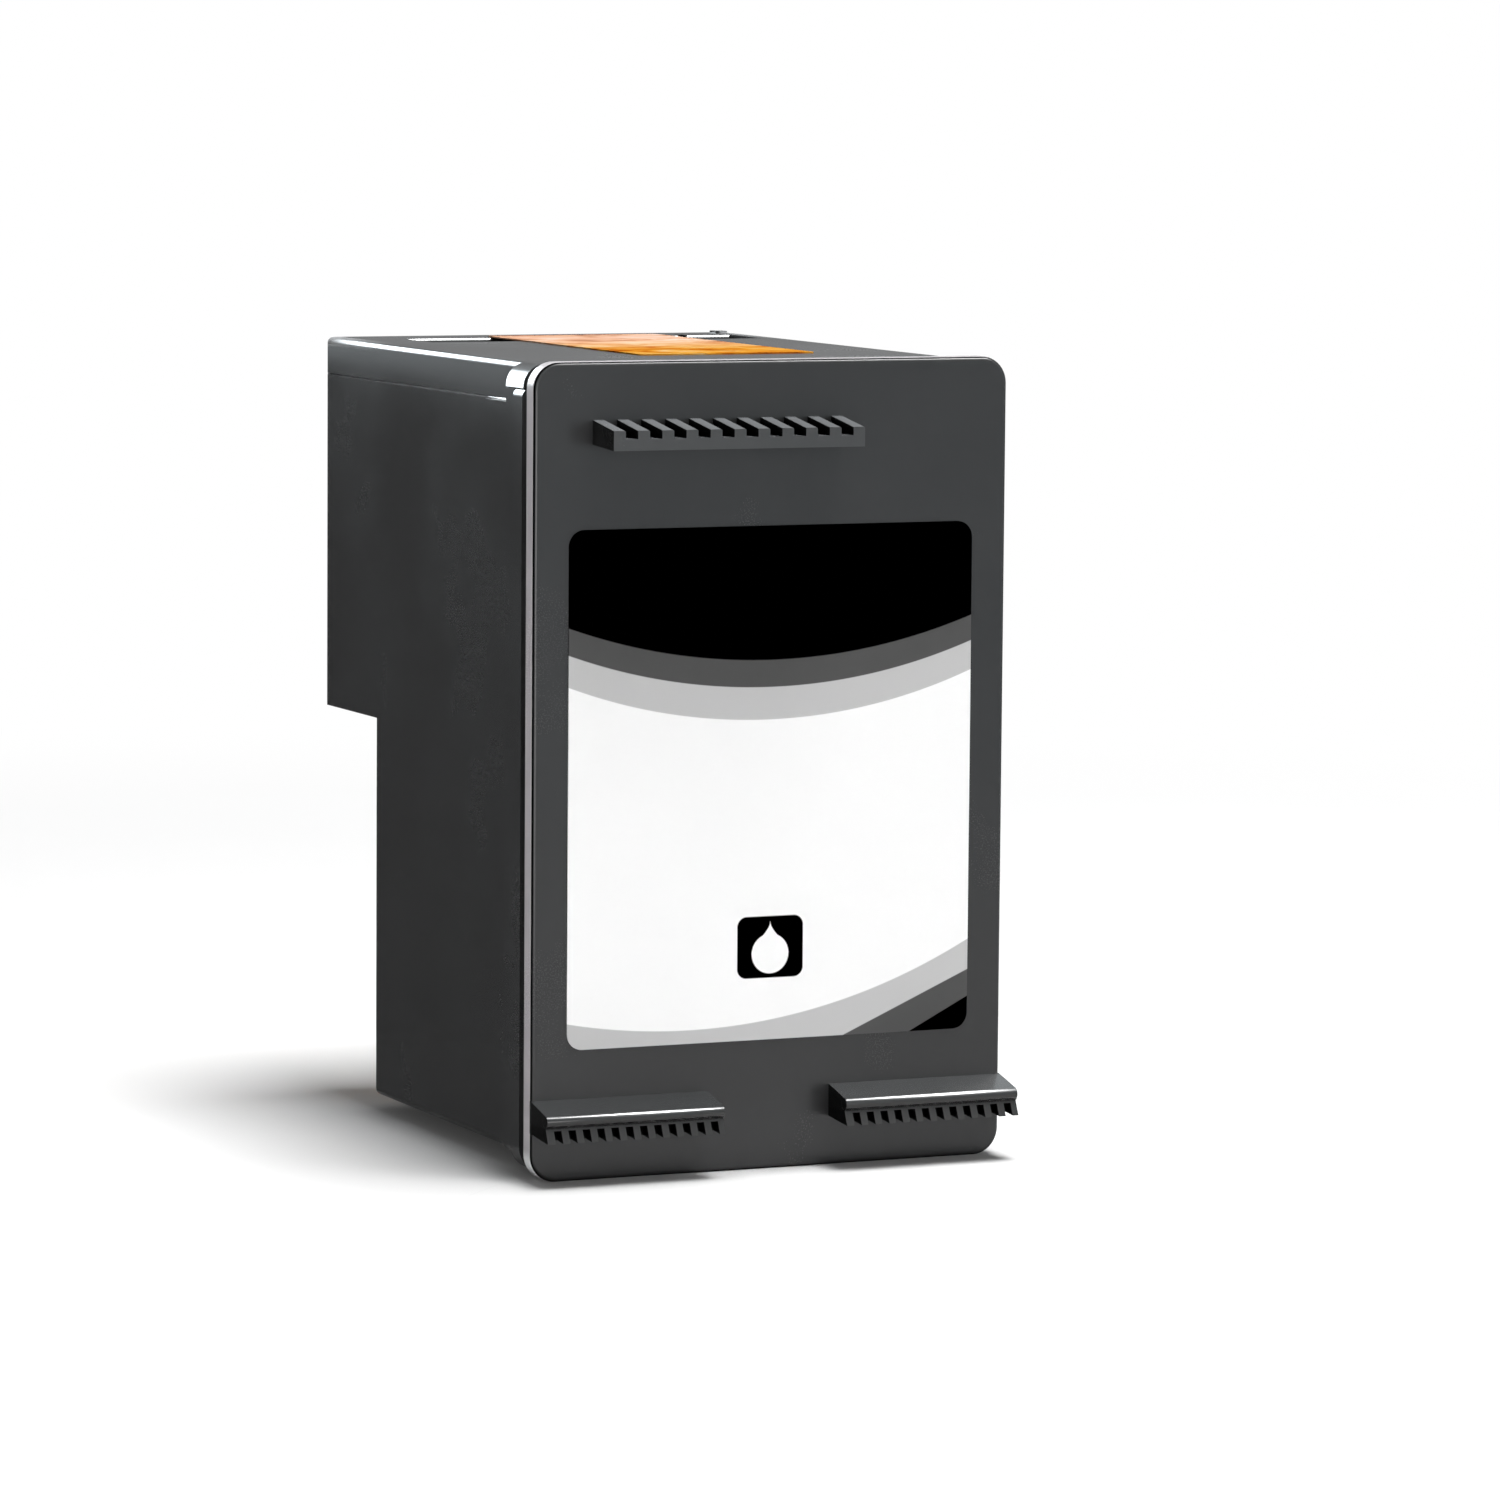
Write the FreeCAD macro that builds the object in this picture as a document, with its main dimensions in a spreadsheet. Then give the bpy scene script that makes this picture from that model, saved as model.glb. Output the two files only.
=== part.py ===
"""Inkjet ink cartridge with its printhead: a moulded tank with a finger plate, lid, foam and head.

Millimetres, +Z up, the finger plate facing -Y. The origin is at the middle of the base.
Every piece is drawn with the plate's front face at Y = 0, and its Placement moves it back
so that the ledge tips and the rear wall lie at the same distance from the origin.
"""
import FreeCAD, Part
import math
import os
import re
import Sketcher

SIZES = {
    # Front plate, with the groove, rib and band that follow it round the tank
    "plate_width": 38.0,
    "plate_height": 60.0,
    "plate_thickness": 1.4,
    "plate_corner_radius": 2.0,
    "plate_edge_round": 0.3,
    "groove_width": 1.6,
    "rib_thickness": 1.8,
    "rib_inset": 0.3,
    "rib_edge_round": 0.6,
    "band_thickness": 2.1,
    "band_inset": 0.6,
    "band_bottom": 1.5,
    "band_corner_radius": 0.6,
    "flash_length": 5.0,
    "flash_reach": 0.3,
    "flash_height": 0.35,
    "flash_round": 0.12,
    # Tank behind the plate: deep above the step, shallower below it
    "tank_depth": 48.0,
    "tank_lower_depth": 37.0,
    "tank_top_inset": 1.8,
    "tank_bottom_inset": 1.8,
    "tank_underside": 1.2,
    "step_height": 30.7,
    "tank_corner_radius": 0.8,
    "tank_bottom_round": 0.5,
    "wall": 1.5,
    "front_wall": 3.8,
    "cavity_corner_radius": 1.0,
    # Long finger ledge near the top of the plate
    "upper_ledge_start": 4.6,
    "upper_ledge_reach": 4.0,
    "upper_ledge_drop": 6.25,
    "upper_ledge_tip_height": 1.45,
    "upper_ledge_rise": 0.6,
    "upper_ledge_undercut": 0.25,
    "upper_tooth_count": 11,
    "upper_tooth_width": 0.93,
    "upper_tooth_pitch": 1.9,
    "upper_tooth_depth": 0.6,
    "upper_tooth_round": 0.1,
    # Two short latch ledges near the bottom of the plate
    "lower_ledge_length": 14.1,
    "lower_ledge_top": 6.1,
    "lower_ledge_shoulder": 5.2,
    "lower_ledge_shoulder_reach": 3.75,
    "lower_ledge_lip": 3.4,
    "lower_ledge_reach": 3.4,
    "lower_ledge_root": 3.7,
    "lower_ledge_round": 0.45,
    "lower_ledge_neck": 4.45,
    "lower_ledge_neck_reach": 2.9,
    "lower_slot_count": 12,
    "lower_slot_start": 0.62,
    "lower_slot_width": 0.58,
    "lower_slot_pitch": 1.13,
    "lower_slot_top": 4.3,
    "lower_slot_depth": 1.2,
    # Printhead snout under the tank
    "snout_width": 22.0,
    "snout_length": 17.0,
    "snout_corner_radius": 1.0,
    "cheek_width": 2.5,
    "front_cheek_length": 2.0,
    "land_height": 0.45,
    "bend_radius": 1.0,
    # Standpipe, filter and floor ribs inside the tank
    "standpipe_width": 11.0,
    "standpipe_bore": 8.0,
    "standpipe_top": 8.0,
    "standpipe_corner_radius": 1.5,
    "filter_width": 10.4,
    "filter_thickness": 0.2,
    "floor_rib_count": 4,
    "floor_rib_pitch": 8.0,
    "floor_rib_thickness": 1.0,
    "floor_rib_gap": 1.7,
    # Printhead stack
    "die_centre": 8.0,
    "die_length": 10.8,
    "die_width": 4.2,
    "die_thickness": 0.6,
    "die_side_gap": 0.1,
    "adhesive_thickness": 0.15,
    "nozzle_plate_thickness": 0.1,
    "ink_slot_length": 7.6,
    "ink_slot_width": 1.4,
    "head_recess": 0.4,
    # Flexible circuit and its pads
    "flex_thickness": 0.15,
    "flex_strip_width": 16.4,
    "flex_panel_width": 22.0,
    "flex_panel_bottom": 2.4,
    "flex_top_gap": 3.7,
    "flex_front_gap": 0.3,
    "window_gap": 0.4,
    "pad_width": 1.5,
    "pad_thickness": 0.08,
    "pad_column_count": 3,
    "pad_row_count": 7,
    "pad_inner_side": 2.65,
    "pad_side_gap": 0.7,
    "pad_bottom": 4.15,
    "pad_top_gap": 3.35,
    "pad_end_gap": 0.8,
    "bead_length": 5.2,
    "bead_overlap": 0.5,
    "bead_reach": 1.1,
    "bead_height": 0.2,
    "bead_round": 0.15,
    # Lid with its front lip, tongue, vent channel and foam ribs
    "lid_drop": 0.3,
    "lid_side_depth": 2.8,
    "lid_front_depth": 1.75,
    "lid_thickness": 1.5,
    "lid_edge_round": 0.45,
    "tongue_gap": 0.1,
    "tongue_thickness": 0.9,
    "tongue_depth": 1.5,
    "trough_left": 12.4,
    "trough_right": 15.5,
    "trough_front": 37.0,
    "trough_rear": 43.2,
    "trough_depth": 0.35,
    "trough_round": 0.3,
    "notch_left": 11.0,
    "notch_width": 0.8,
    "notch_length": 1.2,
    "vent_channel_count": 6,
    "vent_channel_pitch": 1.4,
    "vent_channel_width": 0.6,
    "vent_channel_depth": 0.4,
    "vent_channel_start": 1.4,
    "vent_channel_front": 20.0,
    "vent_channel_rear": 36.0,
    "vent_hole_radius": 0.5,
    "fill_hole_radius": 1.6,
    "fill_hole_across": 1.2,
    "fill_hole_back": 26.0,
    "nub_width": 1.0,
    "nub_length": 1.2,
    "nub_height": 0.15,
    "nub_side_gap": 0.6,
    "nub_rear_gap": 0.5,
    "foam_rib_count": 3,
    "foam_rib_pitch": 9.0,
    "foam_rib_thickness": 1.2,
    "foam_rib_end_gap": 5.0,
    # Foam block
    "foam_gap": 0.1,
    "foam_drop": 6.0,
    # Labels
    "label_thickness": 0.1,
    "front_label_side": 2.8,
    "front_label_top": 12.2,
    "front_label_bottom": 9.7,
    "front_label_radius": 1.2,
    "top_label_left": 5.0,
    "top_label_right": 9.4,
    "top_label_front": 13.4,
    "top_label_rear": 44.2,
    "top_label_radius": 0.4,
}

# Lengths that several pieces share, written in the names of the sheet
LID_TOP = "(plate_height - lid_drop)"
SEAM = "(plate_height - lid_drop - lid_side_depth)"
FRONT_SEAM = "(plate_height - lid_drop - lid_front_depth)"
LID_CEILING = "(plate_height - lid_drop - lid_thickness)"
RIB_FRONT = "(plate_thickness + groove_width)"
BAND_FRONT = "(plate_thickness + groove_width + rib_thickness)"
BAND_REAR = "(plate_thickness + groove_width + rib_thickness + band_thickness)"
TANK_TOP_SIDE = "(plate_width / 2 - tank_top_inset)"
TANK_BOTTOM_SIDE = "(plate_width / 2 - tank_bottom_inset)"
CAVITY_SIDE = "(plate_width / 2 - tank_bottom_inset - wall)"
FLOOR = "(tank_underside + wall)"
STEP_FLOOR = "(step_height + wall)"
FOAM_TOP = "(plate_height - foam_drop)"
FLEX_TOP = "(step_height - flex_top_gap)"
FILTER_TOP = "(standpipe_top + filter_thickness)"
LAND_FRONT = "(tank_lower_depth - snout_length + front_cheek_length)"
DIE_MIDDLE = "(tank_lower_depth - die_centre)"
HEAD_BOTTOM = "head_recess"
DIE_BOTTOM = "(head_recess + nozzle_plate_thickness)"
DIE_TOP = "(head_recess + nozzle_plate_thickness + die_thickness)"
POCKET_TOP = "(head_recess + nozzle_plate_thickness + die_thickness + adhesive_thickness)"

MARGIN = "1"
NEAR = 1e-4
PARALLEL = 0.99

doc = FreeCAD.newDocument("cartridge")


def make_sheet():
    """Spreadsheet of the driving sizes, each with its own alias."""
    sheet = doc.addObject("Spreadsheet::Sheet", "Sizes")
    for row, (name, value) in enumerate(SIZES.items(), start=1):
        sheet.set("A%d" % row, name)
        sheet.set("B%d" % row, str(value))
        sheet.setAlias("B%d" % row, name)
    doc.recompute()
    return sheet


def worth(text):
    """Value of an expression in the names of the sheet."""
    return FreeCAD.Units.Quantity(re.sub(r"[a-z][a-z_]+", lambda name: str(SIZES[name.group()]), text)).Value


def bound(text):
    """Expression with each size's name pointed at the sheet."""
    return re.sub(r"[a-z][a-z_]+", lambda name: "Sizes." + name.group(), text)


def new_body(label):
    """Empty body whose Placement carries the piece from the plate's face to the origin."""
    body = doc.addObject("PartDesign::Body", label)
    body.Label = label
    body.setExpression("Placement.Base.y", bound("(upper_ledge_reach - tank_depth) / 2"))
    return body


def new_sketch(body, plane, name, shift="0"):
    """Sketch on one of the body's own origin planes, moved along the plane's normal."""
    sketch = body.newObject("Sketcher::SketchObject", name)
    support = [item for item in body.Origin.OriginFeatures if item.Role == plane][0]
    sketch.AttachmentSupport = [(support, "")]
    sketch.MapMode = "FlatFace"
    sketch.setExpression("AttachmentOffset.Base.z", bound(shift))
    return sketch


def hold(sketch, constraint, text):
    """Add a constraint whose value follows an expression."""
    index = sketch.addConstraint(constraint)
    sketch.setExpression("Constraints[%d]" % index, bound(text))


def outline(sketch, corners):
    """Closed outline, anticlockwise. A corner is two lengths from the origin and may have a radius."""
    count = len(corners)
    points = [FreeCAD.Vector(worth(corner[0]), worth(corner[1]), 0) for corner in corners]
    radii = [worth(corner[2]) if len(corner) > 2 else 0.0 for corner in corners]
    before = [(points[i - 1] - points[i]).normalize() for i in range(count)]
    after = [(points[(i + 1) % count] - points[i]).normalize() for i in range(count)]
    pulls = [radii[i] / math.tan(before[i].getAngle(after[i]) / 2) if radii[i] else 0.0 for i in range(count)]
    ends = [points[i] + before[i] * pulls[i] for i in range(count)]
    starts = [points[i] + after[i] * pulls[i] for i in range(count)]
    lines = sketch.addGeometry([Part.LineSegment(starts[i], ends[(i + 1) % count]) for i in range(count)])
    marks = sketch.addGeometry([Part.Point(point) for point in points], True)
    for i, corner in enumerate(corners):
        last = lines[i - 1]
        hold(sketch, Sketcher.Constraint("DistanceX", -1, 1, marks[i], 1, points[i].x), corner[0])
        hold(sketch, Sketcher.Constraint("DistanceY", -1, 1, marks[i], 1, points[i].y), corner[1])
        if not radii[i]:
            sketch.addConstraint(Sketcher.Constraint("Coincident", last, 2, marks[i], 1))
            sketch.addConstraint(Sketcher.Constraint("Coincident", lines[i], 1, marks[i], 1))
            continue
        middle = points[i] + (before[i] + after[i]).normalize() * math.hypot(radii[i], pulls[i])
        first = math.atan2(ends[i].y - middle.y, ends[i].x - middle.x)
        second = math.atan2(starts[i].y - middle.y, starts[i].x - middle.x)
        ring = Part.Circle(middle, FreeCAD.Vector(0, 0, 1), radii[i])
        arc = sketch.addGeometry(Part.ArcOfCircle(ring, first, second))
        sketch.addConstraint(Sketcher.Constraint("PointOnObject", marks[i], 1, last))
        sketch.addConstraint(Sketcher.Constraint("PointOnObject", marks[i], 1, lines[i]))
        sketch.addConstraint(Sketcher.Constraint("Tangent", last, 2, arc, 1))
        sketch.addConstraint(Sketcher.Constraint("Tangent", arc, 2, lines[i], 1))
        hold(sketch, Sketcher.Constraint("Radius", arc, radii[i]), corner[2])


def box_outline(sketch, left, right, low, high):
    """Rectangle between two lengths each way."""
    outline(sketch, [(left, low), (right, low), (right, high), (left, high)])


def middle_spans(width, length):
    """Spans of a piece centred over the die."""
    return ("-%s / 2" % width, "%s / 2" % width,
            "%s - %s / 2" % (DIE_MIDDLE, length), "%s + %s / 2" % (DIE_MIDDLE, length))


def circle(sketch, across, up, radius):
    """Circle held by its centre and radius."""
    ring = Part.Circle(FreeCAD.Vector(worth(across), worth(up), 0), FreeCAD.Vector(0, 0, 1), worth(radius))
    index = sketch.addGeometry(ring)
    hold(sketch, Sketcher.Constraint("DistanceX", -1, 1, index, 3, ring.Center.x), across)
    hold(sketch, Sketcher.Constraint("DistanceY", -1, 1, index, 3, ring.Center.y), up)
    hold(sketch, Sketcher.Constraint("Radius", index, ring.Radius), radius)


def pad(body, name, sketch, length, backward=False):
    """Pad along the sketch's normal, or against it."""
    feature = body.newObject("PartDesign::Pad", name)
    feature.Profile = sketch
    feature.setExpression("Length", bound(length))
    feature.Reversed = backward
    body.Tip = feature
    return feature


def pocket(body, name, sketch, length, backward=False):
    """Pocket against the sketch's normal, or along it."""
    feature = body.newObject("PartDesign::Pocket", name)
    feature.Profile = sketch
    feature.setExpression("Length", bound(length))
    feature.Reversed = backward
    body.Tip = feature
    return feature


def row_of(body, name, features, axis, pitch, count):
    """Linear pattern of the features along one of the body's own axes."""
    feature = body.newObject("PartDesign::LinearPattern", name)
    feature.Originals = features
    direction = [item for item in body.Origin.OriginFeatures if item.Role == axis][0]
    feature.Direction = (direction, [""])
    feature.setExpression("Length", bound("%s * (%s - 1)" % (pitch, count)))
    feature.setExpression("Occurrences", bound(count))
    body.Tip = feature
    return feature


def round_edges(body, name, radius, chosen):
    """Fillet on the edges of the body's latest shape that the test chooses."""
    doc.recompute()
    base = body.Tip
    edges = ["Edge%d" % (i + 1) for i, edge in enumerate(base.Shape.Edges) if chosen(edge)]
    feature = body.newObject("PartDesign::Fillet", name)
    feature.Base = (base, edges)
    feature.setExpression("Radius", bound(radius))
    body.Tip = feature
    return feature


def runs_along(edge, axis):
    """True for a straight edge whose direction is nearly the given one."""
    if len(edge.Vertexes) != 2 or edge.Curve.TypeId != "Part::GeomLine":
        return False
    start, end = (vertex.Point for vertex in edge.Vertexes)
    return abs((end - start).normalize().dot(axis)) > PARALLEL


def lies_at(edge, **places):
    """True when every point of the edge has the given coordinates."""
    box = edge.BoundBox
    spans = {"x": (box.XMin, box.XMax), "y": (box.YMin, box.YMax), "z": (box.ZMin, box.ZMax)}
    return all(abs(end - value) < NEAR for axis, value in places.items() for end in spans[axis])


ALONG_X = FreeCAD.Vector(1, 0, 0)
ALONG_Y = FreeCAD.Vector(0, 1, 0)
ALONG_Z = FreeCAD.Vector(0, 0, 1)


def add_tank(body):
    """Drafted block, stepped at the rear, with rounded rear corners and underside."""
    block = body.newObject("PartDesign::AdditiveWedge", "TankBlock")
    support = [item for item in body.Origin.OriginFeatures if item.Role == "XZ_Plane"][0]
    block.AttachmentSupport = [(support, "")]
    block.MapMode = "FlatFace"
    spans = {
        "Xmin": "-" + TANK_BOTTOM_SIDE, "Xmax": TANK_BOTTOM_SIDE,
        "X2min": "-" + TANK_TOP_SIDE, "X2max": TANK_TOP_SIDE,
        "Ymin": "tank_underside", "Ymax": SEAM,
        "Zmin": "-tank_depth", "Zmax": "0", "Z2min": "-tank_depth", "Z2max": "0",
    }
    for name, text in spans.items():
        block.setExpression(name, bound(text))
    body.Tip = block
    cut = new_sketch(body, "YZ_Plane", "StepOutline", "-plate_width / 2")
    box_outline(cut, "tank_lower_depth", "tank_depth + " + MARGIN, "0", "step_height")
    pocket(body, "RearStep", cut, "plate_width", backward=True)
    rear = (SIZES["tank_depth"], SIZES["tank_lower_depth"])

    def rear_corner(edge):
        upright = runs_along(edge, ALONG_Z)
        return upright and any(lies_at(edge, y=depth) for depth in rear)

    round_edges(body, "RearCorners", "tank_corner_radius", rear_corner)

    def underside(edge):
        return runs_along(edge, ALONG_Y) and lies_at(edge, z=SIZES["tank_underside"])

    round_edges(body, "UndersideEdges", "tank_bottom_round", underside)


def add_flange(body):
    """Band and rib round the tank, and the plate in front of them."""
    band = new_sketch(body, "XZ_Plane", "BandOutline", "-" + BAND_REAR)
    side = "(plate_width / 2 - band_inset)"
    box_outline(band, "-" + side, side, "band_bottom", FRONT_SEAM)
    pad(body, "Band", band, "band_thickness")

    def band_corner(edge):
        low = lies_at(edge, z=SIZES["band_bottom"])
        wide = abs(abs(edge.CenterOfMass.x) - (SIZES["plate_width"] / 2 - SIZES["band_inset"])) < NEAR
        return runs_along(edge, ALONG_Y) and low and wide

    round_edges(body, "BandCorners", "band_corner_radius", band_corner)
    rib = new_sketch(body, "XZ_Plane", "RibOutline", "-" + BAND_FRONT)
    side = "(plate_width / 2 - rib_inset)"
    box_outline(rib, "-" + side, side, "rib_inset", FRONT_SEAM)
    pad(body, "Rib", rib, "rib_thickness")
    rib_side = SIZES["plate_width"] / 2 - SIZES["rib_inset"]

    def rib_corner(edge):
        wide = abs(abs(edge.CenterOfMass.x) - rib_side) < NEAR
        return runs_along(edge, ALONG_Y) and wide and lies_at(edge, z=SIZES["rib_inset"])

    def rib_shoulder(edge):
        wide = abs(abs(edge.CenterOfMass.x) - rib_side) < NEAR
        return runs_along(edge, ALONG_Y) and wide and edge.CenterOfMass.z > SIZES["plate_height"] / 2

    round_edges(body, "RibCorners", "plate_corner_radius", rib_corner)
    round_edges(body, "RibShoulders", "rib_edge_round", rib_shoulder)
    plate = new_sketch(body, "XZ_Plane", "PlateOutline", "-plate_thickness")
    box_outline(plate, "-plate_width / 2", "plate_width / 2", "0", "plate_height")
    pad(body, "Plate", plate, "plate_thickness")

    def plate_corner(edge):
        wide = abs(abs(edge.CenterOfMass.x) - SIZES["plate_width"] / 2) < NEAR
        return runs_along(edge, ALONG_Y) and wide

    round_edges(body, "PlateCorners", "plate_corner_radius", plate_corner)
    round_edges(body, "PlateFrontEdge", "plate_edge_round", lambda edge: lies_at(edge, y=0))


def add_seam_flash(body):
    """Thin wedge of weld flash on each side, under the lid's seam and against the band."""
    rear = "(%s + flash_length)" % BAND_REAR
    inner = "(%s - wall / 2)" % TANK_TOP_SIDE
    outer = "(%s + flash_reach)" % TANK_TOP_SIDE
    for side, sign in (("Left", "-"), ("Right", "")):
        wedge = new_sketch(body, "XY_Plane", side + "FlashOutline", SEAM + " - flash_height")
        corners = [(sign + inner, BAND_FRONT), (sign + outer, BAND_FRONT), (sign + outer, BAND_REAR),
                   (sign + TANK_TOP_SIDE, rear), (sign + inner, rear)]
        outline(wedge, corners if sign == "" else corners[::-1])
        pad(body, side + "Flash", wedge, "flash_height")

    def flash_edge(edge):
        outside = abs(edge.CenterOfMass.x) > worth(TANK_TOP_SIDE)
        long_enough = abs(edge.BoundBox.YLength - SIZES["flash_length"]) < NEAR
        return outside and long_enough and lies_at(edge, z=worth(SEAM))

    round_edges(body, "FlashEdges", "flash_round", flash_edge)


def add_upper_ledge(body):
    """Toothed finger ledge: a sloping shelf cut by grooves that run back to the plate."""
    start = "(upper_ledge_start - plate_width / 2)"
    low = "(plate_height - upper_ledge_drop)"
    tip = "(plate_height - upper_ledge_drop + upper_ledge_tip_height)"
    shelf = new_sketch(body, "YZ_Plane", "UpperLedgeOutline", start)
    outline(shelf, [
        ("plate_thickness / 2", low + " + upper_ledge_undercut"), ("0", low + " + upper_ledge_undercut"),
        ("-upper_ledge_reach", low),
        ("-upper_ledge_reach", tip), ("0", tip + " + upper_ledge_rise"),
        ("plate_thickness / 2", tip + " + upper_ledge_rise"),
    ])
    pad(body, "UpperLedge", shelf, "upper_tooth_pitch * (upper_tooth_count - 1) + upper_tooth_width")
    groove = new_sketch(body, "XZ_Plane", "UpperGrooveOutline", "upper_ledge_reach + " + MARGIN)
    left = start + " + upper_tooth_width"
    box_outline(groove, left, start + " + upper_tooth_pitch", tip + " - upper_tooth_depth",
                tip + " + upper_ledge_rise + " + MARGIN)
    cut = pocket(body, "UpperGroove", groove, "upper_ledge_reach + " + MARGIN)
    row_of(body, "UpperGrooves", [cut], "X_Axis", "upper_tooth_pitch", "(upper_tooth_count - 1)")
    front = -SIZES["upper_ledge_reach"]

    def tooth_edge(edge):
        ends = sorted((vertex.Point for vertex in edge.Vertexes), key=lambda point: point.y)
        if len(ends) != 2 or abs(ends[0].y - front) > NEAR or abs(ends[0].z - worth(tip)) > NEAR:
            return False
        return abs(ends[1].z - worth(tip + " + upper_ledge_rise")) < NEAR

    round_edges(body, "UpperToothEdges", "upper_tooth_round", tooth_edge)


def add_lower_ledges(body):
    """Two latch ledges, flush with the plate's sides, slotted along their lower lip."""
    starts = {"Left": "(-plate_width / 2)", "Right": "(plate_width / 2 - lower_ledge_length)"}
    for side, start in starts.items():
        shelf = new_sketch(body, "YZ_Plane", side + "LedgeOutline", start)
        outline(shelf, [
            ("plate_thickness / 2", "lower_ledge_root"), ("0", "lower_ledge_root"),
            ("-lower_ledge_reach", "lower_ledge_lip"), ("-lower_ledge_neck_reach", "lower_ledge_neck"),
            ("-lower_ledge_shoulder_reach", "lower_ledge_shoulder", "lower_ledge_round"),
            ("0", "lower_ledge_top"), ("plate_thickness / 2", "lower_ledge_top"),
        ])
        pad(body, side + "Ledge", shelf, "lower_ledge_length")
        slot = new_sketch(body, "XZ_Plane", side + "SlotOutline", "lower_ledge_reach + " + MARGIN)
        left = start + " + lower_slot_start"
        box_outline(slot, left, left + " + lower_slot_width", "lower_ledge_lip - " + MARGIN, "lower_slot_top")
        cut = pocket(body, side + "Slot", slot, "lower_slot_depth + " + MARGIN)
        row_of(body, side + "Slots", [cut], "X_Axis", "lower_slot_pitch", "lower_slot_count")


def add_snout(body):
    """Printhead snout: three cheeks round the land that carries the circuit and the die."""
    snout = new_sketch(body, "XY_Plane", "SnoutOutline")
    box_outline(snout, "-snout_width / 2", "snout_width / 2",
                "tank_lower_depth - snout_length", "tank_lower_depth")
    pad(body, "Snout", snout, "tank_underside + wall / 2")

    def snout_corner(edge):
        upright = runs_along(edge, ALONG_Z) and edge.BoundBox.ZMin < NEAR
        return upright and abs(abs(edge.CenterOfMass.x) - SIZES["snout_width"] / 2) < NEAR \
            and edge.CenterOfMass.y < SIZES["tank_lower_depth"] - NEAR

    round_edges(body, "SnoutCorners", "snout_corner_radius", snout_corner)
    side = "(snout_width / 2 - cheek_width)"
    land = new_sketch(body, "XY_Plane", "LandOutline")
    box_outline(land, "-" + side, side, LAND_FRONT, "tank_lower_depth + " + MARGIN)
    pocket(body, "Land", land, "land_height", backward=True)

    rear_edge = {"y": SIZES["tank_lower_depth"], "z": SIZES["land_height"]}

    def bend(edge):
        return runs_along(edge, ALONG_X) and lies_at(edge, **rear_edge)

    round_edges(body, "CircuitBend", "bend_radius", bend)
    seat = new_sketch(body, "XY_Plane", "DieSeatOutline")
    half_width = "(die_width / 2 + die_side_gap)"
    half_length = "(die_length / 2 + die_side_gap)"
    box_outline(seat, "-" + half_width, half_width,
                DIE_MIDDLE + " - " + half_length, DIE_MIDDLE + " + " + half_length)
    pocket(body, "DieSeat", seat, POCKET_TOP, backward=True)


def add_cavity(body):
    """Open-topped ink chamber, deeper in front of the step, with rounded corners."""
    upper = new_sketch(body, "XY_Plane", "UpperCavityOutline", "plate_height")
    box_outline(upper, "-" + CAVITY_SIDE, CAVITY_SIDE, "front_wall", "tank_depth - wall")
    pocket(body, "UpperCavity", upper, "plate_height - " + STEP_FLOOR)
    lower = new_sketch(body, "XY_Plane", "LowerCavityOutline", "plate_height")
    box_outline(lower, "-" + CAVITY_SIDE, CAVITY_SIDE, "front_wall", "tank_lower_depth - wall")
    pocket(body, "LowerCavity", lower, "plate_height - " + FLOOR)
    side = worth(CAVITY_SIDE)

    def inner_corner(edge):
        upright = runs_along(edge, ALONG_Z) and edge.BoundBox.ZLength > SIZES["plate_height"] / 4
        return upright and abs(abs(edge.CenterOfMass.x) - side) < NEAR

    round_edges(body, "CavityCorners", "cavity_corner_radius", inner_corner)


def add_standpipe(body):
    """Standpipe over the ink slot, and the floor ribs that hold the foam level with its filter."""
    pipe = new_sketch(body, "XY_Plane", "StandpipeOutline", "tank_underside + wall / 2")
    half = "(standpipe_width / 2)"
    box_outline(pipe, "-" + half, half, DIE_MIDDLE + " - " + half, DIE_MIDDLE + " + " + half)
    pad(body, "Standpipe", pipe, "standpipe_top - tank_underside - wall / 2")

    def pipe_corner(edge):
        upright = runs_along(edge, ALONG_Z) and abs(edge.BoundBox.ZMax - SIZES["standpipe_top"]) < NEAR
        return upright and abs(abs(edge.CenterOfMass.x) - SIZES["standpipe_width"] / 2) < NEAR

    round_edges(body, "StandpipeCorners", "standpipe_corner_radius", pipe_corner)
    bore = new_sketch(body, "XY_Plane", "StandpipeBoreOutline", "standpipe_top")
    half = "(standpipe_bore / 2)"
    box_outline(bore, "-" + half, half, DIE_MIDDLE + " - " + half, DIE_MIDDLE + " + " + half)
    pocket(body, "StandpipeBore", bore, "standpipe_top - " + FLOOR)
    slot = new_sketch(body, "XY_Plane", "InkSlotOutline", FLOOR)
    box_outline(slot, *middle_spans("ink_slot_width", "ink_slot_length"))
    pocket(body, "InkSlot", slot, FLOOR)
    rib = new_sketch(body, "XY_Plane", "FloorRibOutline", FLOOR + " - wall / 2")
    first = "(-floor_rib_pitch * (floor_rib_count - 1) / 2)"
    box_outline(rib, first + " - floor_rib_thickness / 2", first + " + floor_rib_thickness / 2",
                "front_wall - " + MARGIN, "%s - standpipe_width / 2 - floor_rib_gap" % DIE_MIDDLE)
    base = pad(body, "FloorRib", rib, "%s - %s + wall / 2" % (FILTER_TOP, FLOOR))
    row_of(body, "FloorRibs", [base], "X_Axis", "floor_rib_pitch", "floor_rib_count")


def make_cartridge_body():
    """The moulded tank with its plate, ledges and snout, in one piece."""
    body = new_body("cartridge_body")
    add_tank(body)
    add_flange(body)
    add_seam_flash(body)
    add_upper_ledge(body)
    add_lower_ledges(body)
    add_snout(body)
    add_cavity(body)
    add_standpipe(body)


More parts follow.
